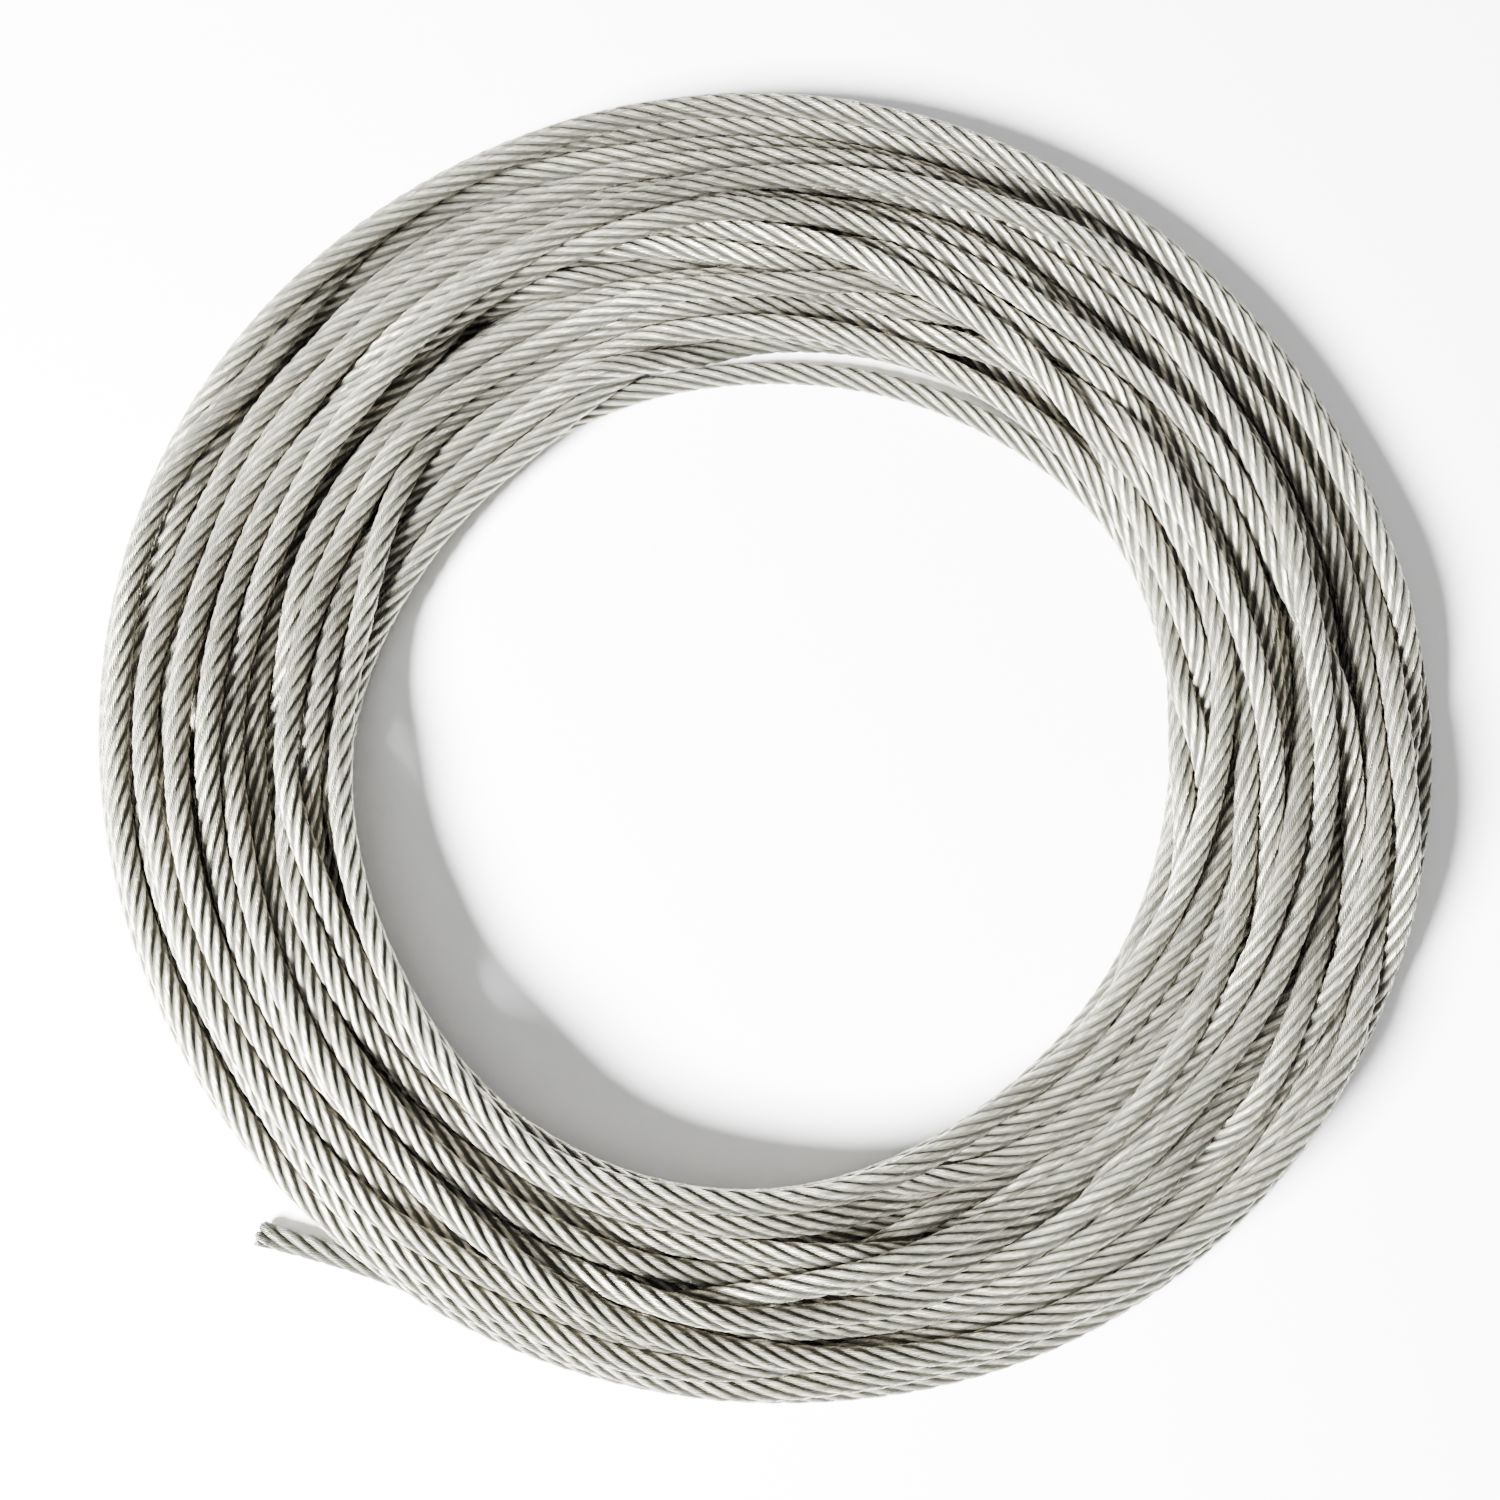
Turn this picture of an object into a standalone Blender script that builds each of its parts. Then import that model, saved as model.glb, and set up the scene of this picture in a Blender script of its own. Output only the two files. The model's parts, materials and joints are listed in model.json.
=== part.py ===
"""Coil of steel wire rope lying flat, with a slack inner turn and the rope's cut end standing clear of the rest.

Metres, +Z up. The origin is on the floor under the middle of the bore.
The wound turns are one turned solid, with a rib for each turn that shows.
The slack turn and the free end are tubes that lie on the floor against it.
"""

import math

import bpy

# Rope
ROPE_DIAMETER = 0.0050
ROPE_COLOUR = (0.60, 0.59, 0.55)
ROPE_ROUGHNESS = 0.38
ROPE_METALLIC = 1.0

# Wound turns: how many lie side by side in each layer, from the floor up
BORE_RADIUS = 0.0870
TURNS_PER_LAYER = (10, 9, 8, 6, 3)
TURN_GAP = 0.0003

# Slack inner turn: it touches the bore at both ends and stands furthest from it at its middle
SLACK_MIDDLE_ANGLE = math.radians(93)
SLACK_HALF_ANGLE = math.radians(65)
SLACK_SAG = 0.0076

# Free end: it leaves the outer side of the coil and bends a little back towards it
END_ANGLE = math.radians(231.2)
END_SPLAY = math.radians(24.3)
END_LENGTH = 0.0140
END_BEND = 0.0002

# Space left between solids that touch on the real coil
CLEARANCE = 0.0003

# Fineness: steps round the coil, flats on each side of a rib's lowest one, and bare groove beside a rib
COIL_STEPS = 48
RIB_SIDE_FLATS = 1
GROOVE_ANGLE = math.radians(30)
TUBE_BEVEL_RESOLUTION = 2
TUBE_POINT_SPACING = 2.5

ROPE_RADIUS = ROPE_DIAMETER / 2
TURN_PITCH = ROPE_DIAMETER + TURN_GAP
WIDEST_TURNS = max(TURNS_PER_LAYER)
MIDDLE_RADIUS = BORE_RADIUS + ROPE_RADIUS + (WIDEST_TURNS - 1) * TURN_PITCH / 2
RIB_STEP = (math.pi - 2 * GROOVE_ANGLE) / (2 * RIB_SIDE_FLATS + 1)
# A rib lies on its lowest flat, so its axis is a little under one rope radius up
FIRST_LAYER_HEIGHT = ROPE_RADIUS * math.cos(RIB_STEP / 2)
LOWEST_FLAT_START = -math.pi / 2 - RIB_STEP / 2


def coil_layers():
    """Each layer's turns, inner to outer, as (radius, height) of the rope's axis."""
    layers = []
    height = FIRST_LAYER_HEIGHT
    for level, count in enumerate(TURNS_PER_LAYER):
        if level > 0:
            nested = (count - TURNS_PER_LAYER[level - 1]) % 2 == 1
            aside = TURN_PITCH / 2 if nested else 0
            height += math.sqrt(ROPE_DIAMETER**2 - aside**2)
        inner = MIDDLE_RADIUS - (count - 1) * TURN_PITCH / 2
        layers.append([(inner + k * TURN_PITCH, height) for k in range(count)])
    return layers


def surface_turns():
    """The turns on the coil's surface, anticlockwise round its section from the foot of the bore."""
    layers = coil_layers()
    covered = list(zip(layers[1:-1], layers[2:]))
    around = list(layers[0])
    for layer, above in covered:
        around += reversed([turn for turn in layer if turn[0] > above[-1][0]] or layer[-1:])
    around += reversed(layers[-1])
    for layer, above in reversed(covered):
        around += reversed([turn for turn in layer if turn[0] < above[0][0]] or layer[:1])
    return around


def rib_angles(start, end):
    """Angles of a rib's corners, from one groove to the next, such that one flat faces straight down."""
    corners = [start]
    corner = LOWEST_FLAT_START + RIB_STEP * math.floor((start - LOWEST_FLAT_START) / RIB_STEP)
    while corner < end - RIB_STEP / 3:
        if corner > start + RIB_STEP / 3:
            corners.append(corner)
        corner += RIB_STEP
    return corners + [end]


def coil_section():
    """The coil's section as (radius, height) points, anticlockwise."""
    turns = surface_turns()
    points = []
    for k, (radius, height) in enumerate(turns):
        before = turns[k - 1]
        after = turns[(k + 1) % len(turns)]
        start = math.atan2(before[1] - height, before[0] - radius) + GROOVE_ANGLE
        end = math.atan2(after[1] - height, after[0] - radius) - GROOVE_ANGLE
        end = start + (end - start) % (2 * math.pi)
        for angle in rib_angles(start, end):
            points.append((radius + ROPE_RADIUS * math.cos(angle), height + ROPE_RADIUS * math.sin(angle)))
    return points


def floor_seat(side):
    """Radius at which a rope on the floor lies against the bore (side -1) or the outer side (side 1)."""
    reach = ROPE_DIAMETER + CLEARANCE
    # The middles of the bore's flats come nearer to the axis than their corners
    flattening = math.cos(math.pi / COIL_STEPS) if side < 0 else 1
    seats = []
    for layer in coil_layers():
        radius, height = layer[0] if side < 0 else layer[-1]
        rise = height - ROPE_RADIUS
        if abs(rise) < reach:
            seats.append(radius * flattening + side * math.sqrt(reach**2 - rise**2))
    return max(seats) if side > 0 else min(seats)


def rope_material(name):
    """Bright drawn steel wire."""
    material = bpy.data.materials.new(name)
    material.use_nodes = True
    shader = material.node_tree.nodes["Principled BSDF"]
    shader.inputs["Base Color"].default_value = (*ROPE_COLOUR, 1.0)
    shader.inputs["Roughness"].default_value = ROPE_ROUGHNESS
    shader.inputs["Metallic"].default_value = ROPE_METALLIC
    return material


def add_sub_part(name, data, collection, root):
    """Place a mesh or curve as a named sub-part with its own material."""
    data.materials.append(rope_material(name + "_steel"))
    sub_part = bpy.data.objects.new(name, data)
    collection.objects.link(sub_part)
    sub_part.parent = root
    return sub_part


def make_wound_turns(collection, root):
    """The wound turns: the section turned about the coil's axis."""
    points = coil_section()
    count = len(points)
    mesh = bpy.data.meshes.new("wound_turns")
    # A screw profile's outer side runs downwards, which is clockwise
    clockwise = [(radius, 0.0, height) for radius, height in reversed(points)]
    mesh.from_pydata(clockwise, [(i, (i + 1) % count) for i in range(count)], [])
    coil = add_sub_part("wound_turns", mesh, collection, root)
    screw = coil.modifiers.new("turned", "SCREW")
    screw.axis = "Z"
    screw.angle = 2 * math.pi
    screw.steps = COIL_STEPS
    screw.render_steps = COIL_STEPS
    screw.use_merge_vertices = True
    screw.merge_threshold = 0.00001
    screw.use_smooth_shade = True
    return coil


def make_rope_tube(name, route, length, collection, root):
    """A plain length of rope with flat ends, along a route given as a function of the share from 0 to 1."""
    steps = max(2, round(length / (TUBE_POINT_SPACING * ROPE_DIAMETER)))
    curve = bpy.data.curves.new(name, "CURVE")
    curve.dimensions = "3D"
    curve.bevel_depth = ROPE_RADIUS
    curve.bevel_resolution = TUBE_BEVEL_RESOLUTION
    curve.use_fill_caps = True
    spline = curve.splines.new("POLY")
    spline.points.add(steps)
    for i, point in enumerate(spline.points):
        x, y = route(i / steps)
        point.co = (x, y, 0.0, 1.0)
    return add_sub_part(name, curve, collection, root)


def make_slack_inner_turn(collection, root):
    """The slack turn, an arc about the coil's axis that is drawn inwards at its middle."""
    seat = floor_seat(-1)

    def route(share):
        across = 2 * share - 1
        radius = seat - SLACK_SAG * math.cos(across * math.pi / 2) ** 2
        angle = across * SLACK_HALF_ANGLE
        return radius * math.cos(angle), radius * math.sin(angle)

    turn = make_rope_tube("slack_inner_turn", route, 2 * SLACK_HALF_ANGLE * seat, collection, root)
    turn.location.z = ROPE_RADIUS
    turn.rotation_euler.z = SLACK_MIDDLE_ANGLE
    return turn


def make_free_end(collection, root):
    """The free end, from its seat against the coil to the cut, in its own frame with +X along it."""

    def route(share):
        return END_LENGTH * share, -END_BEND * share**2

    end = make_rope_tube("free_end", route, END_LENGTH, collection, root)
    seat = floor_seat(1)
    end.location = (seat * math.cos(END_ANGLE), seat * math.sin(END_ANGLE), ROPE_RADIUS)
    end.rotation_euler.z = END_ANGLE - math.pi / 2 + END_SPLAY
    return end


def clear_scene():
    for thing in list(bpy.data.objects):
        bpy.data.objects.remove(thing, do_unlink=True)


def main():
    clear_scene()
    collection = bpy.data.collections.new("wire_rope_coil")
    bpy.context.scene.collection.children.link(collection)
    root = bpy.data.objects.new("wire_rope_coil", None)
    collection.objects.link(root)
    make_wound_turns(collection, root)
    make_slack_inner_turn(collection, root)
    make_free_end(collection, root)


main()
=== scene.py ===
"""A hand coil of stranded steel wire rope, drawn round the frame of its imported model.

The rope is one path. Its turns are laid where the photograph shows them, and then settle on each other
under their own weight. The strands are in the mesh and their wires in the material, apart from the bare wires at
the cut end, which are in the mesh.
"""

import functools
import json
import math
import random

import bpy
import numpy as np
from bpy.props import FloatProperty, FloatVectorProperty, IntProperty, PointerProperty
from bpy.types import Operator, Panel, PropertyGroup
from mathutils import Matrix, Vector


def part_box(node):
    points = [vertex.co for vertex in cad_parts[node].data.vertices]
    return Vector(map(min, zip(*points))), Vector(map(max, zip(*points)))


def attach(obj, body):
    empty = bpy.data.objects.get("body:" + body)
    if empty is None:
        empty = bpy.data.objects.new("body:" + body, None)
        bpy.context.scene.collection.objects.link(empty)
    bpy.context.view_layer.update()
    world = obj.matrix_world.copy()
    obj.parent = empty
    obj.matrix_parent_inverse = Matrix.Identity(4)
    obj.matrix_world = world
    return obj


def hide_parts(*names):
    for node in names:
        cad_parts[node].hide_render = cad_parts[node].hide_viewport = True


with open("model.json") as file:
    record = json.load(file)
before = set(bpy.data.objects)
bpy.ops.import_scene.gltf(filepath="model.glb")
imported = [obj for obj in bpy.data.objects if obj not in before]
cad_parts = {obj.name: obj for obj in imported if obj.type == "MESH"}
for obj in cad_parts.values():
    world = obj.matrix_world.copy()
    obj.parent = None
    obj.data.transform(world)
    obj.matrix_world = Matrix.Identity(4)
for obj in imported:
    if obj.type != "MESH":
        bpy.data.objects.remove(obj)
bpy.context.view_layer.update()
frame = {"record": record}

bl_info = {
    "name": "Wire rope coil",
    "version": (1, 0, 0),
    "blender": (4, 5, 0),
    "location": "View3D > Sidebar > Rope",
    "description": "Winds a length of stranded wire rope into a loose hand coil",
    "category": "Object",
}

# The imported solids
free_end_low, free_end_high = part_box("free_end")
ROPE_DIAMETER = free_end_high.z - free_end_low.z
CUT_END = next(mount["pos_m"] for mount in frame["record"]["mounts"] if mount["name"] == "rope_end")

# The photograph's frame, and the pixel that the winding is measured from, with the point of the floor seen there
PHOTO_SIZE = 1500
AXIS_PIXEL = (763.5, 749.4)
AXIS_POINT = np.array([0.0, -0.0079])
FLOOR_PIXELS_PER_METRE = 4700
CAMERA_TILT = math.radians(7)
CAMERA_DISTANCE = 0.345
CAMERA_SENSOR_WIDTH = 36.0
NEAREST_SEEN = 0.01

# The winding: each row is one turn, anticlockwise, with the level that it is laid at and its distance from the
# coil's axis in the photograph, in pixels, at every twelfth of the turn
ROW_STEPS = 12
FIRST_ANGLE = math.radians(225)
LAST_ANGLE = math.radians(267)


def hidden_turn(seat, start, end):
    """A turn that doesn't show, which moves evenly from one distance to another."""
    return seat, tuple(start + (end - start) * k / ROW_STEPS for k in range(ROW_STEPS))


WINDING = [
    (0.2, (632, 630, 628, 625, 622, 620, 640, 676, 640, 634, 628, 622)),
    hidden_turn(0.4, 622, 594),
    hidden_turn(0.5, 594, 566),
    hidden_turn(0.6, 566, 538),
    hidden_turn(0.7, 538, 510),
    hidden_turn(0.8, 510, 483),
    hidden_turn(0.9, 483, 457),
    hidden_turn(1.0, 457, 440),
    hidden_turn(1.8, 445, 480),
    hidden_turn(2.0, 480, 515),
    hidden_turn(2.1, 515, 550),
    hidden_turn(2.2, 550, 590),
    hidden_turn(2.4, 600, 520),
    hidden_turn(2.6, 520, 428),
    (3.0, (428, 418, 392, 376, 386, 393, 415, 432, 445, 445, 432, 424)),
    (3.6, (417, 427, 451, 476, 513, 540, 550, 550, 540, 520, 500, 480)),
    (3.8, (460, 440, 425, 407, 388, 392, 412, 430, 450, 456, 440, 432)),
    (4.4, (431, 450, 469, 500, 541, 556, 560, 550, 530, 510, 490, 465)),
    (4.0, (440, 428, 420, 412, 411, 415, 427, 440, 455, 455, 456, 458)),
    (5.0, (477, 494, 509, 532, 536, 516, 508, 514, 524, 526, 520, 512)),
    (6.0, (500, 480, 462, 455, 467, 441, 425, 436, 463, 456, 440, 438)),
    (6.2, (453, 474, 487, 513, 536, 548, 552, 548, 546, 540, 525, 510)),
    (4.4, (500, 500, 492, 485, 480, 478, 476, 476, 474, 470, 472, 483)),
    (6.0, (503, 519, 530, 538, 540, 535, 530, 530, 539, 535, 531, 531)),
    (6.6, (534, 547, 553, 561, 567, 577, 588, 582, 571, 583, 583, 578)),
    (3.8, (582, 594, 600, 600, 600, 590, 575, 566, 555, 530, 500, 470)),
    (4.4, (442, 430, 423, 425, 431, 437, 448, 455, 486, 490, 504, 500)),
    (4.6, (485, 474, 470, 470, 484, 493, 492, 498, 508, 513, 524, 524)),
    (5.4, (508, 492, 478, 468, 462, 469, 470, 473, 471, 467, 480, 507)),
    hidden_turn(4.0, 516, 600),
    (6.5, (600, 604, 609, 619, 625, 630, 628, 617, 611, 612, 616, 619)),
    (10.0, (614, 604, 592, 572, 547, 532, 532, 538, 557, 604, 642, 660)),
    (4.0, (655, 638, 636, 644, 650, 656, 652, 642, 637, 638, 654, 642)),
    (7.0, (633, 628, 629, 636, 646, 648, 648, 642, 634, 629, 638, 628)),
    (9.0, (581, 537, 525, 537, 552, 553, 558, 558, 558, 563, 558, 557)),
    (8.0, (557, 569, 578, 588, 588, 602, 612, 602, 591, 588, 593, 594)),
]
# The last row goes down to this level from this part of its turn, under those that hide the rope's inner end
LAST_SEAT = 3.0
LAST_ROW_DIVES_FROM = 0.62
# Each row keeps its own level between these parts of its turn, and goes over to the next one's after it
ROW_LEVEL_FROM = 0.2
ROW_LEVEL_TO = 0.8
# The free end comes in to the coil along these angles and distances, in degrees and pixels
FREE_END_ROUTE = (
    (224, 699), (227, 678), (230, 661), (233, 648), (236, 639), (240, 632), (246, 627), (252, 624.5),
)
# Where the middles of the innermost and outermost turns are seen, at every twelfth of a turn, and of the turns
# that leave a space beside the slack one
BORE_EDGE = (416, 419, 391, 376, 382, 393, 421, 434, 452, 452, 430, 421)
EDGE_BESIDE_SLACK_TURN = (416, 427, 423, 406, 382, 393, 421, 434, 452, 452, 430, 421)
SLACK_ROW = 14
OUTER_EDGE = (657, 646, 640, 645, 650, 657, 653, 644, 638, 641, 656, 660)
# How the turns settle: lengths are in rope diameters, and the weight of one station's rope is 1. The free end's
# stations stay where they are seen, and a row starts as high as its level times the rise
STATIONS = 120
TAIL_STATIONS = 12
SEAT_RISE = 0.6
START_THICKNESS = 0.3
GROWING_SHARE = 0.3
STEPS = 3000
TIME_STEP = 0.02
SPEED_KEPT = 0.97
TOP_SPEED = 4.0
CONTACT_STIFFNESS = 400.0
DEEPEST_CONTACT = 0.25
BENDING_STIFFNESS = 50.0
HOLD_SEEN = 4.0
HOLD_HIDDEN = 0.05
HIDING_WIDTH = 0.6
HIDING_HEIGHT = 0.4
LOOK_AGAIN = 25
HOLD_BLUR = 7

# The rope's make: six strands round a core strand, whose wires turn three times in one turn of a strand
STRANDS = 6
OUTER_WIRES = 12
LAY_LENGTH = 6.2
WIRE_TURNS_PER_LAY = 3

# The rope's mesh: a strand's corners on the outside of the rope, and the runs that it is made in, with the one
# that most of the slack turn is in
LOBE_ANGLES = tuple(math.radians(a) for a in (-102, -62, -21, 21, 62, 102))
RINGS_PER_LAY = 12
PATH_STEPS = 8
RUNS = 5
SLACK_RUN = 2
# The attribute holds the place round a strand in turns, the place along the rope in diameters, and the strand
LAY_ATTRIBUTE = "rope_lay"

# The bare wires at the cut end, which follow the first points of the path: each ring of a strand with its wires,
# a wire's make, and in metres how far the wires go in, where their tips are and how far they stray
BARE_POINTS = 4
WIRE_RINGS = ((1, 6), (2, 12))
WIRES_ACROSS_ROPE = 15
WIRE_SIDES = 6
WIRE_STATIONS = 5
WIRE_ROOT = 0.0004
WIRE_TIPS = (-0.0002, 0.0005)
WIRE_STRAY = 0.00010
WIRE_SPREAD = 0.06
WIRE_SEED = 7

# Drawn steel: where it turns dull, and how rough it is
STEEL_METALLIC = 0.9
DULL_FROM, DULL_TO = 0.62, 0.92
MARK_SHARE = 0.5
SMOOTHEST, ROUGHEST = 0.27, 0.50
ROUGHENS_FROM, ROUGHENS_TO = 0.3, 1.4

# The laid rope: its streaks and marks, each wire's own shade, stretches dulled by handling, and painted shade on
# the lower turns, at the free end and in the grooves. The lower turns' painted shade goes by height, and the end's
# by length, in rope diameters
STREAK_SCALE = (7.13, 0.35, 3.7)
ROPE_MARK_SCALE = 6.0
DARKEST_WIRE = 0.38
HANDLED_SCALE = 0.09
HANDLED_FROM, HANDLED_TO, HANDLED_MOST = 0.40, 0.70, 0.62
LOW_SHADE_FROM, LOW_SHADE_TO, LOW_SHADE_MOST = 0.3, 2.9, 0.88
END_SHADE_TO, END_UNSHADED_FROM, END_SHADE_MOST = 5.0, 8.0, 0.92
GROOVE_FROM, GROOVE_TO = 0.035, 0.18
GROOVE_UNEVENNESS = 0.08
GROOVE_ROUGHNESS = 0.18
GROOVE_SHADE_BLOTCH_SCALE = 900.0
WIRE_EDGE_FROM, WIRE_EDGE_SHADE = 0.75, 0.6
WIRE_RELIEF = 0.03

# The bare wires: how fine their marks are, and how deep the shears left them
BARE_WIRE_SCALE = 1500.0
BARE_MARK_SCALE = 4.0
SHEAR_MARK_SCALE = 3.0
SHEAR_MARK_DEPTH = 0.005
SHEAR_MARK_STRENGTH = 0.6

# The stage: each light's name, azimuth and elevation in degrees, distance and width in metres, and watts
LIGHTS = (
    ("key", 212, 40, 1.0, 0.38, 215.0),
    ("fill", 40, 55, 1.2, 0.8, 2.0),
    ("top", 180, 80, 1.3, 0.8, 4.0),
)
ROOM_LIGHT = 0.27
FLOOR_HALF_WIDTH = 4.0
FLOOR_ROUGHNESS = 0.7


class RopeSettings(PropertyGroup):
    """Sizes and colours of the rope and its coil."""

    diameter: FloatProperty(
        name="Diameter", description="The rope's outer diameter", default=ROPE_DIAMETER, unit="LENGTH"
    )
    lay_length: FloatProperty(
        name="Lay length", description="One turn of a strand round the rope, in rope diameters",
        default=LAY_LENGTH,
    )
    strands: IntProperty(name="Strands", description="Strands round the core strand", default=STRANDS)
    outer_wires: IntProperty(name="Outer wires", description="Wires on a strand's outside", default=OUTER_WIRES)
    crown_colour: FloatVectorProperty(
        name="Crown colour", description="The wires where they stand out", default=(1.0, 0.92, 0.76),
        subtype="COLOR",
    )
    # The tarnish colour is also the painted shade of the lower turns
    tarnish_and_shade_colour: FloatVectorProperty(
        name="Tarnish colour", description="Duller wires and lower turns", default=(0.36, 0.35, 0.30),
        subtype="COLOR",
    )
    # The end colour is the painted shade of the free end and of its bare wires
    end_shade_colour: FloatVectorProperty(
        name="End colour", description="The wires of the free end", default=(0.115, 0.115, 0.102),
        subtype="COLOR",
    )
    # The groove colour is the painted shade deep in the grooves, and the darker tone of the bare wires at the cut
    deep_shade_colour: FloatVectorProperty(
        name="Groove colour", description="Old oil and dust between the strands", default=(0.085, 0.086, 0.068),
        subtype="COLOR",
    )
    floor_colour: FloatVectorProperty(
        name="Floor colour", description="The pale floor", default=(0.96, 0.96, 0.96), subtype="COLOR"
    )


def camera_axes():
    """The camera's place, and its right, up and forward directions."""
    half = PHOTO_SIZE / 2
    aim_x = (half - AXIS_PIXEL[0]) / FLOOR_PIXELS_PER_METRE
    forward = np.array([0.0, math.sin(CAMERA_TILT), -math.cos(CAMERA_TILT)])
    right = np.array([1.0, 0.0, 0.0])
    up = np.cross(right, forward)
    place = np.array([aim_x, 0.0, 0.0]) + [*AXIS_POINT, 0.0] - forward * CAMERA_DISTANCE
    return place, right, up, forward


def sight_lines(radius_px, azimuth):
    """The camera's place, and each given pixel's step in x and y for each metre up, round the coil's axis."""
    place, right, up, forward = camera_axes()
    half = PHOTO_SIZE / 2
    across = AXIS_PIXEL[0] + radius_px * np.cos(azimuth) - half
    upward = half - AXIS_PIXEL[1] + radius_px * np.sin(azimuth)
    focal = FLOOR_PIXELS_PER_METRE * CAMERA_DISTANCE
    ray = across[:, None] * right + upward[:, None] * up + focal * forward
    return place, ray[:, :2] / ray[:, 2:3]


def smooth_row_values(values, steps):
    """A smooth line through values, with that many steps from one value to the next."""
    padded = np.array([2 * values[0] - values[1], *values, 2 * values[-1] - values[-2]], float)
    spans = len(values) - 1
    t = np.linspace(0, spans, spans * steps + 1)
    k = np.minimum(t.astype(int), spans - 1)
    f = t - k
    a, b, c, d = padded[k], padded[k + 1], padded[k + 2], padded[k + 3]
    curve = 2 * b + (c - a) * f + (2 * a - 5 * b + 4 * c - d) * f**2 + (3 * b - a - 3 * c + d) * f**3
    return 0.5 * curve


def turn_edge(readings):
    """The step in x and y for each metre up of the sight lines along one closed edge of the coil."""
    azimuth = 2 * math.pi * np.arange(STATIONS) / STATIONS
    radius_px = smooth_row_values([*readings, readings[0]], STATIONS // ROW_STEPS)[:-1]
    return sight_lines(radius_px, azimuth)[1]


def laid_turns():
    """Distance in pixels, level and azimuth at every station, and the first and last one that the rope has."""
    readings = [radius for _, row in WINDING for radius in row]
    readings.append(WINDING[-1][1][-1])
    radius_px = smooth_row_values(readings, STATIONS // ROW_STEPS)
    seats = [seat for seat, _ in WINDING]
    turn = np.arange(len(radius_px)) / STATIONS
    marks = [number + part for number in range(len(seats)) for part in (ROW_LEVEL_FROM, ROW_LEVEL_TO)]
    marks[-1] = len(seats) - 1 + LAST_ROW_DIVES_FROM
    end = len(seats) - 1 + LAST_ANGLE / (2 * math.pi)
    seat = np.interp(turn, [*marks, end], [*np.repeat(seats, 2), LAST_SEAT])
    azimuth = 2 * math.pi * np.arange(len(radius_px)) / STATIONS
    first = round(FIRST_ANGLE / (2 * math.pi) * STATIONS)
    last = (len(WINDING) - 1) * STATIONS + round(LAST_ANGLE / (2 * math.pi) * STATIONS)
    tail = slice(first, first + TAIL_STATIONS)
    radius_px[tail] = np.interp(np.degrees(azimuth[tail]), *zip(*FREE_END_ROUTE))
    return radius_px, seat, azimuth, first, last


def bending_force(line, first, last):
    """The force with which a stiff rope straightens itself, from the bend at each of its stations."""
    bend = np.zeros_like(line)
    bend[first + 1:last] = line[first:last - 1] - 2 * line[first + 1:last] + line[first + 2:last + 1]
    force = 2 * bend
    force[:-1] -= bend[1:]
    force[1:] -= bend[:-1]
    return force


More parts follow.
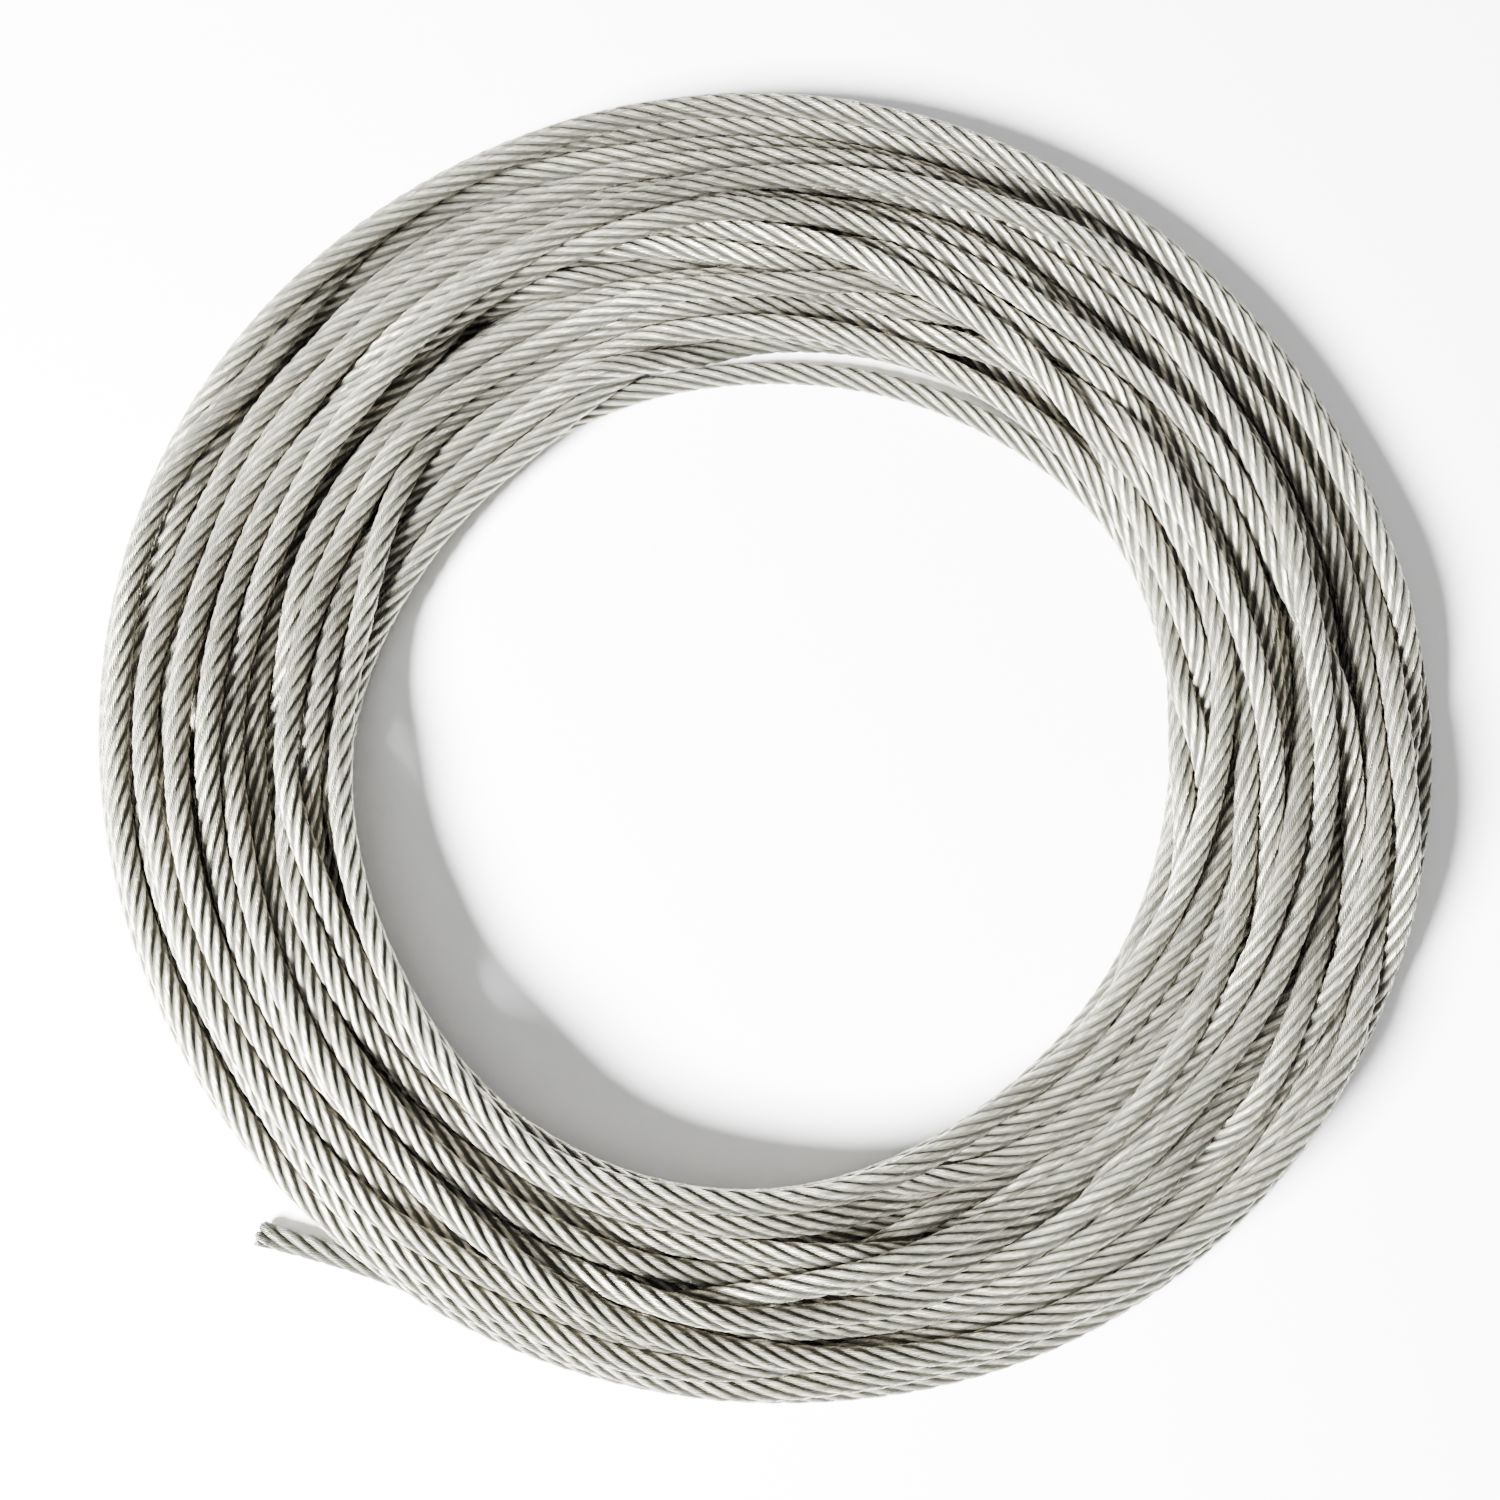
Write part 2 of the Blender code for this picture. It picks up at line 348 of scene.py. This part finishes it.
def settled_turns(diameter):
    """Let the turns settle, and give the rope's middle line.

    Where a turn shows it is held near the place where it is seen, and elsewhere it may slide. All turns fall, push
    each other apart and resist bending. They start thin, so that those which cross pass over each other.
    """
    radius_px, seat, azimuth, first, last = laid_turns()
    place, slope = sight_lines(radius_px, azimuth)
    count = len(radius_px)
    turns = math.ceil(count / STATIONS)
    missing = turns * STATIONS - count
    index = np.arange(turns * STATIONS)
    laid = ((index >= first) & (index <= last)).reshape(turns, STATIONS)
    live = laid.reshape(-1)[:count]
    tail = np.arange(count) < first + TAIL_STATIONS
    upper, lower = np.triu_indices(turns, 1)
    both = laid[upper] & laid[lower]
    pairs = np.zeros((turns, len(upper)))
    pairs[upper, np.arange(len(upper))] = 1
    pairs[lower, np.arange(len(upper))] = -1
    station = np.arange(count) % STATIONS
    on_slack_row = (np.arange(count) // STATIONS == SLACK_ROW)[:, None]
    bore_slope, beside_slope, outer_slope = (
        turn_edge(edge)[station] for edge in (BORE_EDGE, EDGE_BESIDE_SLACK_TURN, OUTER_EDGE)
    )
    inner_slope = np.where(on_slack_row, bore_slope, beside_slope)

    def radius_on(sight, height):
        spot = place[:2] - AXIS_POINT + sight * (height * diameter - place[2])[:, None]
        return np.hypot(spot[:, 0], spot[:, 1]) / diameter

    def by_turn(line):
        return np.append(line, np.zeros(missing)).reshape(turns, STATIONS)

    height = 0.5 + seat * SEAT_RISE
    radius = radius_on(slope, height * START_THICKNESS)
    speed_out = np.zeros(count)
    speed_up = np.zeros(count)
    for step in range(STEPS):
        thickness = min(1.0, START_THICKNESS + (1 - START_THICKNESS) * step / (GROWING_SHARE * STEPS))
        radii, heights = by_turn(radius), by_turn(height)
        out = radii[upper] - radii[lower]
        up = heights[upper] - heights[lower]
        apart = np.sqrt(out**2 + up**2) + 1e-9
        push = np.where(both, np.clip(thickness - apart, 0, DEEPEST_CONTACT), 0) * CONTACT_STIFFNESS / apart
        force_out = (pairs @ (push * out)).reshape(-1)[:count]
        force_up = (pairs @ (push * up)).reshape(-1)[:count]
        if step % LOOK_AGAIN == 0:
            seen = radii / (1 - heights * diameter / CAMERA_DISTANCE)
            in_line = (np.abs(seen[upper] - seen[lower]) < HIDING_WIDTH) & both
            upper_hides = (in_line & (up > HIDING_HEIGHT)).astype(float)
            lower_hides = (in_line & (up < -HIDING_HEIGHT)).astype(float)
            hidden = np.maximum(pairs, 0) @ lower_hides + np.maximum(-pairs, 0) @ upper_hides > 0
            hold = np.where(hidden.reshape(-1)[:count], HOLD_HIDDEN, HOLD_SEEN)
            hold = np.convolve(hold, np.full(HOLD_BLUR, 1 / HOLD_BLUR), "same")
        force_out += hold * (radius_on(slope, height) - radius)
        force_out += BENDING_STIFFNESS * bending_force(radius, first, last)
        force_up += BENDING_STIFFNESS * bending_force(height, first, last) - 1
        speed_out = np.clip((speed_out + TIME_STEP * force_out) * SPEED_KEPT, -TOP_SPEED, TOP_SPEED) * live
        speed_up = np.clip((speed_up + TIME_STEP * force_up) * SPEED_KEPT, -TOP_SPEED, TOP_SPEED) * live
        radius += TIME_STEP * speed_out
        height += TIME_STEP * speed_up
        on_floor = height < 0.5
        height[on_floor] = 0.5
        speed_up[on_floor] = 0
        inside = np.clip(radius, radius_on(inner_slope, height), radius_on(outer_slope, height))
        stopped = (inside != radius) & ~tail
        speed_out[stopped] = 0
        radius = np.where(tail, radius_on(slope, height), inside)
    kept = slice(first, last + 1)
    points = np.stack([radius * np.cos(azimuth), radius * np.sin(azimuth), height], 1)[kept] * diameter
    return np.vstack([CUT_END, points + [*AXIS_POINT, 0.0]])


def smooth_path(points, spacing):
    """Points an even spacing apart on a smooth line through the given ones, and the distance along it of each."""
    finer = np.stack([smooth_row_values(points[:, k], PATH_STEPS) for k in range(3)], 1)
    along = np.concatenate([[0], np.cumsum(np.linalg.norm(np.diff(finer, axis=0), axis=1))])
    count = round(along[-1] / spacing)
    wanted = np.linspace(0, along[-1], count + 1)
    return np.stack([np.interp(wanted, along, finer[:, k]) for k in range(3)], 1), wanted


@functools.lru_cache
def rope_path(diameter, lay_length):
    """Points along the middle of the settled rope, and the distance of each from the cut end."""
    return smooth_path(settled_turns(diameter), lay_length * diameter / RINGS_PER_LAY)


def path_frames(path):
    """Unit vectors along the path, upward from it and to its outer side."""
    along = np.gradient(path, axis=0)
    along /= np.linalg.norm(along, axis=1)[:, None]
    outward = np.cross(along, (0.0, 0.0, 1.0))
    outward /= np.linalg.norm(outward, axis=1)[:, None]
    upward = np.cross(outward, along)
    return along, upward, outward


def mesh_from_arrays(name, places, quads, triangles):
    """A mesh with smooth quads, and flat triangles that close its ends."""
    mesh = bpy.data.meshes.new(name)
    mesh.vertices.add(len(places))
    mesh.vertices.foreach_set("co", places.astype(np.float32).ravel())
    corners = np.concatenate([quads.ravel(), triangles.ravel()])
    starts = np.concatenate([np.arange(0, quads.size, 4), quads.size + np.arange(0, triangles.size, 3)])
    mesh.loops.add(len(corners))
    mesh.loops.foreach_set("vertex_index", corners.astype(np.int32))
    mesh.polygons.add(len(starts))
    mesh.polygons.foreach_set("loop_start", starts.astype(np.int32))
    mesh.update(calc_edges=True)
    mesh.polygons.foreach_set("use_smooth", np.arange(len(starts)) < len(quads))
    return mesh


def tube_faces(rings, sides):
    """The sides of a tube whose vertices are numbered ring by ring."""
    ring = np.arange(rings - 1)[:, None] * sides
    side = np.arange(sides)[None, :]
    after = (side + 1) % sides
    quads = np.stack([ring + side, ring + after, ring + sides + after, ring + sides + side], 2)
    return quads.reshape(-1, 4)


def rope_surface(path, along, settings):
    """Rings of points on the right-handed stranded surface, with their directions out and places in the lay."""
    # Three equal strands lie across the rope
    strand_ring = settings.diameter / 3
    strand_radius = settings.diameter / 6
    _, upward, outward = path_frames(path)
    twist = 2 * math.pi * along / (settings.lay_length * settings.diameter)
    strand = np.repeat(np.arange(settings.strands), len(LOBE_ANGLES))
    lobe = np.tile(np.array(LOBE_ANGLES), settings.strands)
    turn = twist[:, None] + 2 * math.pi * strand[None, :] / settings.strands
    up = strand_ring * np.cos(turn) + strand_radius * np.cos(turn + lobe)
    out = strand_ring * np.sin(turn) + strand_radius * np.sin(turn + lobe)
    places = path[:, None, :] + up[:, :, None] * upward[:, None, :] + out[:, :, None] * outward[:, None, :]
    round_it = np.roll(places, -1, 1) - np.roll(places, 1, 1)
    along_it = np.gradient(places, axis=0)
    normals = np.cross(round_it, along_it)
    normals /= np.linalg.norm(normals, axis=2)[:, :, None]
    lay = np.empty_like(places)
    lay[:, :, 0] = lobe / (2 * math.pi)
    lay[:, :, 1] = along[:, None] / settings.diameter
    lay[:, :, 2] = strand
    return places, normals, lay


def rope_run_mesh(name, path, places, normals, lay):
    """One run of the rope's surface, closed at both ends."""
    rings, sides = places.shape[:2]
    side = np.arange(sides)
    after = (side + 1) % sides
    first_middle, last_middle = rings * sides, rings * sides + 1
    last_ring = (rings - 1) * sides
    first_cap = np.stack([np.full(sides, first_middle), after, side], 1)
    last_cap = np.stack([np.full(sides, last_middle), last_ring + side, last_ring + after], 1)
    mesh = mesh_from_arrays(
        name, np.vstack([places.reshape(-1, 3), path[[0, -1]]]), tube_faces(rings, sides),
        np.vstack([first_cap, last_cap]),
    )
    middles = np.stack([(0.5, 0.5), lay[[0, -1], 0, 1], (0, 0)], 1)
    made = mesh.attributes.new(LAY_ATTRIBUTE, "FLOAT_VECTOR", "POINT")
    made.data.foreach_set("vector", np.vstack([lay.reshape(-1, 3), middles]).astype(np.float32).ravel())
    # The runs meet without a seam, because their directions come from the whole rope
    ends = np.stack([path[0] - path[1], path[-1] - path[-2]])
    mesh.normals_split_custom_set_from_vertices(np.vstack([normals.reshape(-1, 3), ends]))
    return mesh


def wire_places():
    """Distance from a strand's middle, in wire diameters, and angle of each of its nineteen wires."""
    places = [(0.0, 0.0)]
    for ring, count in WIRE_RINGS:
        places += [(ring, 2 * math.pi * k / count) for k in range(count)]
    return places


def cut_wires_mesh(name, path, along, settings):
    """The bare wires at the cut end, from inside the first ring of strands to the cut, a little spread."""
    draw = random.Random(WIRE_SEED)
    _, upward, outward = path_frames(path)
    strand_ring = settings.diameter / 3
    wire = settings.diameter / WIRES_ACROSS_ROPE
    wire_lay = settings.lay_length / WIRE_TURNS_PER_LAY
    root = along[1] + WIRE_ROOT
    side_angle = 2 * math.pi * np.arange(WIRE_SIDES) / WIRE_SIDES
    tube = tube_faces(WIRE_STATIONS, WIRE_SIDES)
    fan = np.array([(0, k + 1, k) for k in range(1, WIRE_SIDES - 1)])
    far_fan = fan[:, ::-1] + (WIRE_STATIONS - 1) * WIRE_SIDES
    places, quads, triangles = [], [], []
    for strand in range(settings.strands + 1):
        # The last strand is the rope's core
        ring = strand_ring if strand < settings.strands else 0.0
        for distance, angle in wire_places():
            tip = draw.uniform(*WIRE_TIPS)
            stray_up = draw.uniform(-WIRE_STRAY, WIRE_STRAY)
            stray_out = draw.uniform(-WIRE_STRAY, WIRE_STRAY)
            at = np.linspace(tip, root, WIRE_STATIONS)
            loose = np.clip(1 - at / along[1], 0, None) ** 2
            turn = 2 * math.pi * (at / (settings.lay_length * settings.diameter) + strand / settings.strands)
            wire_turn = turn + angle - 2 * math.pi * at / (wire_lay * settings.diameter)
            spread = 1 + WIRE_SPREAD * loose
            up = (ring * np.cos(turn) + distance * wire * np.cos(wire_turn)) * spread + stray_up * loose
            out = (ring * np.sin(turn) + distance * wire * np.sin(wire_turn)) * spread + stray_out * loose
            up = up[:, None] + wire / 2 * np.cos(side_angle)
            out = out[:, None] + wire / 2 * np.sin(side_angle)
            beyond = np.minimum(at, 0)[:, None] * (path[1] - path[0]) / along[1]
            middle = beyond + np.stack([np.interp(at, along, path[:, k]) for k in range(3)], 1)
            number = len(places) * WIRE_STATIONS * WIRE_SIDES
            surface = middle[:, None, :] + up[:, :, None] * upward[0] + out[:, :, None] * outward[0]
            places.append(surface.reshape(-1, 3))
            quads.append(tube + number)
            triangles.append(np.vstack([fan, far_fan]) + number)
    return mesh_from_arrays(name, np.vstack(places), np.vstack(quads), np.vstack(triangles))


def new_material(name):
    material = bpy.data.materials.new(name)
    material.use_nodes = True
    material.node_tree.nodes.clear()
    return material, material.node_tree


def put(tree, socket, value):
    """Join a socket to another, or set its own value."""
    if isinstance(value, bpy.types.NodeSocket):
        tree.links.new(value, socket)
    else:
        socket.default_value = value


def maths(tree, operation, *values):
    node = tree.nodes.new("ShaderNodeMath")
    node.operation = operation
    for socket, value in zip(node.inputs, values):
        put(tree, socket, value)
    return node.outputs[0]


def map_range(tree, value, low, high, to_low=0.0, to_high=1.0):
    node = tree.nodes.new("ShaderNodeMapRange")
    node.interpolation_type = "SMOOTHSTEP"
    put(tree, node.inputs["Value"], value)
    put(tree, node.inputs["From Min"], low)
    put(tree, node.inputs["From Max"], high)
    put(tree, node.inputs["To Min"], to_low)
    put(tree, node.inputs["To Max"], to_high)
    return node.outputs["Result"]


def noise(tree, place, scale, detail=2.0):
    node = tree.nodes.new("ShaderNodeTexNoise")
    put(tree, node.inputs["Vector"], place)
    put(tree, node.inputs["Scale"], scale)
    put(tree, node.inputs["Detail"], detail)
    return node.outputs[0]


def combined(tree, x, y, z):
    node = tree.nodes.new("ShaderNodeCombineXYZ")
    for socket, value in zip(node.inputs, (x, y, z)):
        put(tree, socket, value)
    return node.outputs[0]


def mixed_colours(tree, factor, first, second, blend="MIX"):
    node = tree.nodes.new("ShaderNodeMix")
    node.data_type = "RGBA"
    node.blend_type = blend
    put(tree, node.inputs["Factor"], factor)
    for name, colour in (("A", first), ("B", second)):
        socket = next(each for each in node.inputs if each.name == name and each.type == "RGBA")
        put(tree, socket, colour)
    return next(each for each in node.outputs if each.type == "RGBA")


def drawn_steel_group():
    """Drawn wire's colour and roughness: dull stretches, tarnish spots and fine drawing marks."""
    group = bpy.data.node_groups.new("drawn_steel", "ShaderNodeTree")
    for name, kind, default in (
        ("Place", "NodeSocketVector", None),
        ("Bright colour", "NodeSocketColor", (0.8, 0.8, 0.8, 1)),
        ("Dull colour", "NodeSocketColor", (0.3, 0.3, 0.3, 1)),
        ("Mark scale", "NodeSocketFloat", 9.0),
    ):
        socket = group.interface.new_socket(name, in_out="INPUT", socket_type=kind)
        if default is not None:
            socket.default_value = default
    group.interface.new_socket("Colour", in_out="OUTPUT", socket_type="NodeSocketColor")
    group.interface.new_socket("Roughness", in_out="OUTPUT", socket_type="NodeSocketFloat")
    given = group.nodes.new("NodeGroupInput").outputs
    result = group.nodes.new("NodeGroupOutput").inputs
    stretches = noise(group, given["Place"], 1.0, 3.0)
    marks = noise(group, given["Place"], given["Mark scale"], 4.0)
    tarnish = maths(group, "ADD", stretches, maths(group, "MULTIPLY", marks, MARK_SHARE))
    dull = map_range(group, tarnish, DULL_FROM, DULL_TO)
    put(group, result["Colour"], mixed_colours(group, dull, given["Bright colour"], given["Dull colour"]))
    rough = maths(group, "ADD", dull, marks)
    roughness = map_range(group, rough, ROUGHENS_FROM, ROUGHENS_TO, SMOOTHEST, ROUGHEST)
    put(group, result["Roughness"], roughness)
    return group


def place_drawn_steel(tree, place, bright, dull, mark_scale):
    """Put the drawn steel group in a material, and give its colour and roughness sockets."""
    node = tree.nodes.new("ShaderNodeGroup")
    node.node_tree = bpy.data.node_groups.get("drawn_steel") or drawn_steel_group()
    put(tree, node.inputs["Place"], place)
    put(tree, node.inputs["Bright colour"], (*bright, 1))
    put(tree, node.inputs["Dull colour"], (*dull, 1))
    put(tree, node.inputs["Mark scale"], mark_scale)
    return node.outputs["Colour"], node.outputs["Roughness"]


def finish_steel(tree, colour, roughness, normal):
    shader = tree.nodes.new("ShaderNodeBsdfPrincipled")
    shader.inputs["Metallic"].default_value = STEEL_METALLIC
    put(tree, shader.inputs["Base Color"], colour)
    put(tree, shader.inputs["Roughness"], roughness)
    put(tree, shader.inputs["Normal"], normal)
    output = tree.nodes.new("ShaderNodeOutputMaterial")
    tree.links.new(shader.outputs[0], output.inputs[0])


def bump(tree, height, distance, strength=1.0):
    node = tree.nodes.new("ShaderNodeBump")
    node.inputs["Strength"].default_value = strength
    node.inputs["Distance"].default_value = distance
    put(tree, node.inputs["Height"], height)
    return node.outputs[0]


def rope_material(settings):
    """The laid rope: its outer wires, and painted shade in the grooves between its strands, on the lower turns and
    at the free end.
    """
    material, tree = new_material("rope_steel")
    lay = tree.nodes.new("ShaderNodeAttribute")
    lay.attribute_name = LAY_ATTRIBUTE
    parts = tree.nodes.new("ShaderNodeSeparateXYZ")
    put(tree, parts.inputs[0], lay.outputs["Vector"])
    around, along, strand = parts.outputs

    # Each wire's number, and its round top
    wire_lay = settings.lay_length / WIRE_TURNS_PER_LAY
    turns = maths(tree, "ADD", around, maths(tree, "DIVIDE", along, wire_lay))
    phase = maths(tree, "MULTIPLY", turns, float(settings.outer_wires))
    across = maths(tree, "SUBTRACT", maths(tree, "MULTIPLY", maths(tree, "FRACT", phase), 2.0), 1.0)
    across_squared = maths(tree, "MULTIPLY", across, across)
    below_top = maths(tree, "SUBTRACT", 1.0, across_squared)
    wire_top = maths(tree, "SQRT", maths(tree, "MAXIMUM", below_top, 0.0))
    number = maths(tree, "FLOOR", phase)

    # Wires differ, and their colour changes in long streaks
    parts_of_streak = zip((number, along, strand), STREAK_SCALE)
    streaks = combined(tree, *(maths(tree, "MULTIPLY", value, scale) for value, scale in parts_of_streak))
    colour, roughness = place_drawn_steel(
        tree, streaks, settings.crown_colour, settings.tarnish_and_shade_colour, ROPE_MARK_SCALE
    )
    own_shade = tree.nodes.new("ShaderNodeTexWhiteNoise")
    own_shade.noise_dimensions = "2D"
    put(tree, own_shade.inputs["Vector"], combined(tree, number, strand, 0.0))
    shade = map_range(tree, own_shade.outputs["Value"], 0.0, 1.0, DARKEST_WIRE, 1.0)
    colour = mixed_colours(tree, 1.0, colour, combined(tree, shade, shade, shade), "MULTIPLY")

    # Stretches of a strand are duller, as the rope was handled
    grips = combined(tree, maths(tree, "MULTIPLY", along, HANDLED_SCALE), strand, 0.0)
    touched = noise(tree, grips, 1.0, 3.0)
    handled = map_range(tree, touched, HANDLED_FROM, HANDLED_TO, 0.0, HANDLED_MOST)
    colour = mixed_colours(tree, handled, colour, (*settings.tarnish_and_shade_colour, 1))

    # Painted shade: the lower turns, which lie under the others, are darker
    place = tree.nodes.new("ShaderNodeTexCoord")
    level = tree.nodes.new("ShaderNodeSeparateXYZ")
    put(tree, level.inputs[0], place.outputs["Object"])
    lowest, highest = (height * settings.diameter for height in (LOW_SHADE_FROM, LOW_SHADE_TO))
    low_shade = map_range(tree, level.outputs["Z"], lowest, highest, LOW_SHADE_MOST, 0.0)
    colour = mixed_colours(tree, low_shade, colour, (*settings.tarnish_and_shade_colour, 1))

    # Painted shade: the free end, which lies low on the floor, is darker
    end_shade = map_range(tree, along, END_SHADE_TO, END_UNSHADED_FROM, END_SHADE_MOST, 0.0)
    colour = mixed_colours(tree, end_shade, colour, (*settings.end_shade_colour, 1))

    # Painted shade in the grooves between the strands, and thin lines of it between the wires
    depth = maths(tree, "ABSOLUTE", around)
    blotches = maths(tree, "SUBTRACT", noise(tree, place.outputs["Object"], GROOVE_SHADE_BLOTCH_SCALE), 0.5)
    reach = maths(tree, "ADD", depth, maths(tree, "MULTIPLY", blotches, GROOVE_UNEVENNESS))
    groove = map_range(tree, reach, GROOVE_FROM, GROOVE_TO)
    between_wires = map_range(tree, wire_top, WIRE_EDGE_FROM, 0.0, 0.0, WIRE_EDGE_SHADE)
    groove_shade = maths(tree, "MAXIMUM", groove, between_wires)
    colour = mixed_colours(tree, groove_shade, colour, (*settings.deep_shade_colour, 1))
    roughness = maths(tree, "ADD", roughness, maths(tree, "MULTIPLY", groove, GROOVE_ROUGHNESS))

    normal = bump(tree, wire_top, settings.diameter * WIRE_RELIEF)
    finish_steel(tree, colour, roughness, normal)
    return material


def cut_wire_material(settings):
    """Bare wires at the cut: the drawn steel of the rope, darkened with the free end's painted shade, with sheared
    marks.
    """
    material, tree = new_material("cut_wire_steel")
    place = tree.nodes.new("ShaderNodeTexCoord").outputs["Object"]
    scaled = tree.nodes.new("ShaderNodeVectorMath")
    scaled.operation = "SCALE"
    put(tree, scaled.inputs[0], place)
    put(tree, scaled.inputs["Scale"], BARE_WIRE_SCALE)
    colour, roughness = place_drawn_steel(
        tree, scaled.outputs[0], settings.end_shade_colour, settings.deep_shade_colour, BARE_MARK_SCALE
    )
    marks = noise(tree, scaled.outputs[0], SHEAR_MARK_SCALE, 3.0)
    normal = bump(tree, marks, settings.diameter * SHEAR_MARK_DEPTH, SHEAR_MARK_STRENGTH)
    finish_steel(tree, colour, roughness, normal)
    return material


def run_bounds(count, runs):
    """First and last ring of each run."""
    marks = [round(count * k / runs) for k in range(runs + 1)]
    marks[-1] = count - 1
    return list(zip(marks[:-1], marks[1:]))


def add_piece(name, mesh, material):
    """A piece of the rope, which moves with the coil and has the rope's finish."""
    mesh.materials.append(material)
    piece = bpy.data.objects.new(name, mesh)
    bpy.context.scene.collection.objects.link(piece)
    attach(piece, "root")
    return piece


class ROPE_OT_cut_wires(Operator):
    """Bare the wires at the cut end"""

    bl_idname = "rope.cut_wires"
    bl_label = "Cut wires"

    def execute(self, context):
        settings = context.scene.rope
        path, along = rope_path(settings.diameter, settings.lay_length)
        mesh = cut_wires_mesh("cut_wires", path[:BARE_POINTS], along[:BARE_POINTS], settings)
        add_piece("cut_wires", mesh, cut_wire_material(settings))
        return {"FINISHED"}


class ROPE_OT_coil(Operator):
    """Wind the rope and let it settle, once its cut wires are made"""

    bl_idname = "rope.coil"
    bl_label = "Rope"

    def execute(self, context):
        settings = context.scene.rope
        path, along = rope_path(settings.diameter, settings.lay_length)
        material = rope_material(settings)
        places, normals, lay = rope_surface(path, along, settings)
        for number, (first, last) in enumerate(run_bounds(len(path), RUNS), 1):
            # The wires at the cut end are bare up to the second ring
            part = slice(max(first, 1), last + 1)
            name = f"rope_run_{number}"
            mesh = rope_run_mesh(name, path[part], places[part], normals[part], lay[part])
            piece = add_piece(name, mesh, material)
            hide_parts("wound_turns")
            if number == 1:
                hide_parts("free_end")
            if number == SLACK_RUN:
                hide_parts("slack_inner_turn")
        return {"FINISHED"}


class ROPE_OT_stage(Operator):
    """Lay the floor and set the light and the camera"""

    bl_idname = "rope.stage"
    bl_label = "Stage"

    def execute(self, context):
        scene = context.scene
        data = bpy.data.cameras.new("camera")
        data.sensor_fit = "HORIZONTAL"
        data.sensor_width = CAMERA_SENSOR_WIDTH
        half_view = PHOTO_SIZE / 2 / (FLOOR_PIXELS_PER_METRE * CAMERA_DISTANCE)
        data.lens = data.sensor_width / 2 / half_view
        data.clip_start = NEAREST_SEEN
        camera = bpy.data.objects.new("camera", data)
        camera.location = camera_axes()[0]
        camera.rotation_euler = (CAMERA_TILT, 0.0, 0.0)
        scene.collection.objects.link(camera)
        scene.camera = camera
        add_floor(scene)
        add_lights(scene)
        return {"FINISHED"}


def add_floor(scene):
    settings = scene.rope
    mesh = bpy.data.meshes.new("floor")
    half = FLOOR_HALF_WIDTH
    corners = [(-half, -half, 0), (half, -half, 0), (half, half, 0), (-half, half, 0)]
    mesh.from_pydata(corners, [], [(0, 1, 2, 3)])
    floor = bpy.data.objects.new("floor", mesh)
    scene.collection.objects.link(floor)
    material, tree = new_material("floor")
    shader = tree.nodes.new("ShaderNodeBsdfPrincipled")
    shader.inputs["Base Color"].default_value = (*settings.floor_colour, 1)
    shader.inputs["Roughness"].default_value = FLOOR_ROUGHNESS
    output = tree.nodes.new("ShaderNodeOutputMaterial")
    tree.links.new(shader.outputs[0], output.inputs[0])
    mesh.materials.append(material)


def add_lights(scene):
    for name, azimuth, elevation, distance, size, power in LIGHTS:
        data = bpy.data.lights.new(name, "AREA")
        data.shape = "DISK"
        data.size = size
        data.energy = power
        light = bpy.data.objects.new(name, data)
        round_it, rise = math.radians(azimuth), math.radians(elevation)
        light.location = (
            distance * math.cos(rise) * math.cos(round_it),
            distance * math.cos(rise) * math.sin(round_it),
            distance * math.sin(rise),
        )
        light.rotation_euler = (math.pi / 2 - rise, 0.0, round_it + math.pi / 2)
        scene.collection.objects.link(light)
    world = bpy.data.worlds.new("studio")
    world.use_nodes = True
    background = world.node_tree.nodes["Background"]
    background.inputs["Color"].default_value = (1, 1, 1, 1)
    background.inputs["Strength"].default_value = ROOM_LIGHT
    scene.world = world


class ROPE_PT_panel(Panel):
    """The rope's settings and pieces"""

    bl_idname = "ROPE_PT_panel"
    bl_label = "Wire rope coil"
    bl_space_type = "VIEW_3D"
    bl_region_type = "UI"
    bl_category = "Rope"

    def draw(self, context):
        column = self.layout.column()
        for name in RopeSettings.__annotations__:
            column.prop(context.scene.rope, name)
        for operator in OPERATORS:
            column.operator(operator.bl_idname)


OPERATORS = (ROPE_OT_stage, ROPE_OT_cut_wires, ROPE_OT_coil)
CLASSES = (RopeSettings, *OPERATORS, ROPE_PT_panel)


def register():
    for cls in CLASSES:
        bpy.utils.register_class(cls)
    bpy.types.Scene.rope = PointerProperty(type=RopeSettings)


def unregister():
    del bpy.types.Scene.rope
    for cls in reversed(CLASSES):
        bpy.utils.unregister_class(cls)


def main():
    register()
    bpy.ops.rope.stage()
    bpy.ops.rope.cut_wires()
    bpy.ops.rope.coil()


if __name__ == "__main__":
    main()
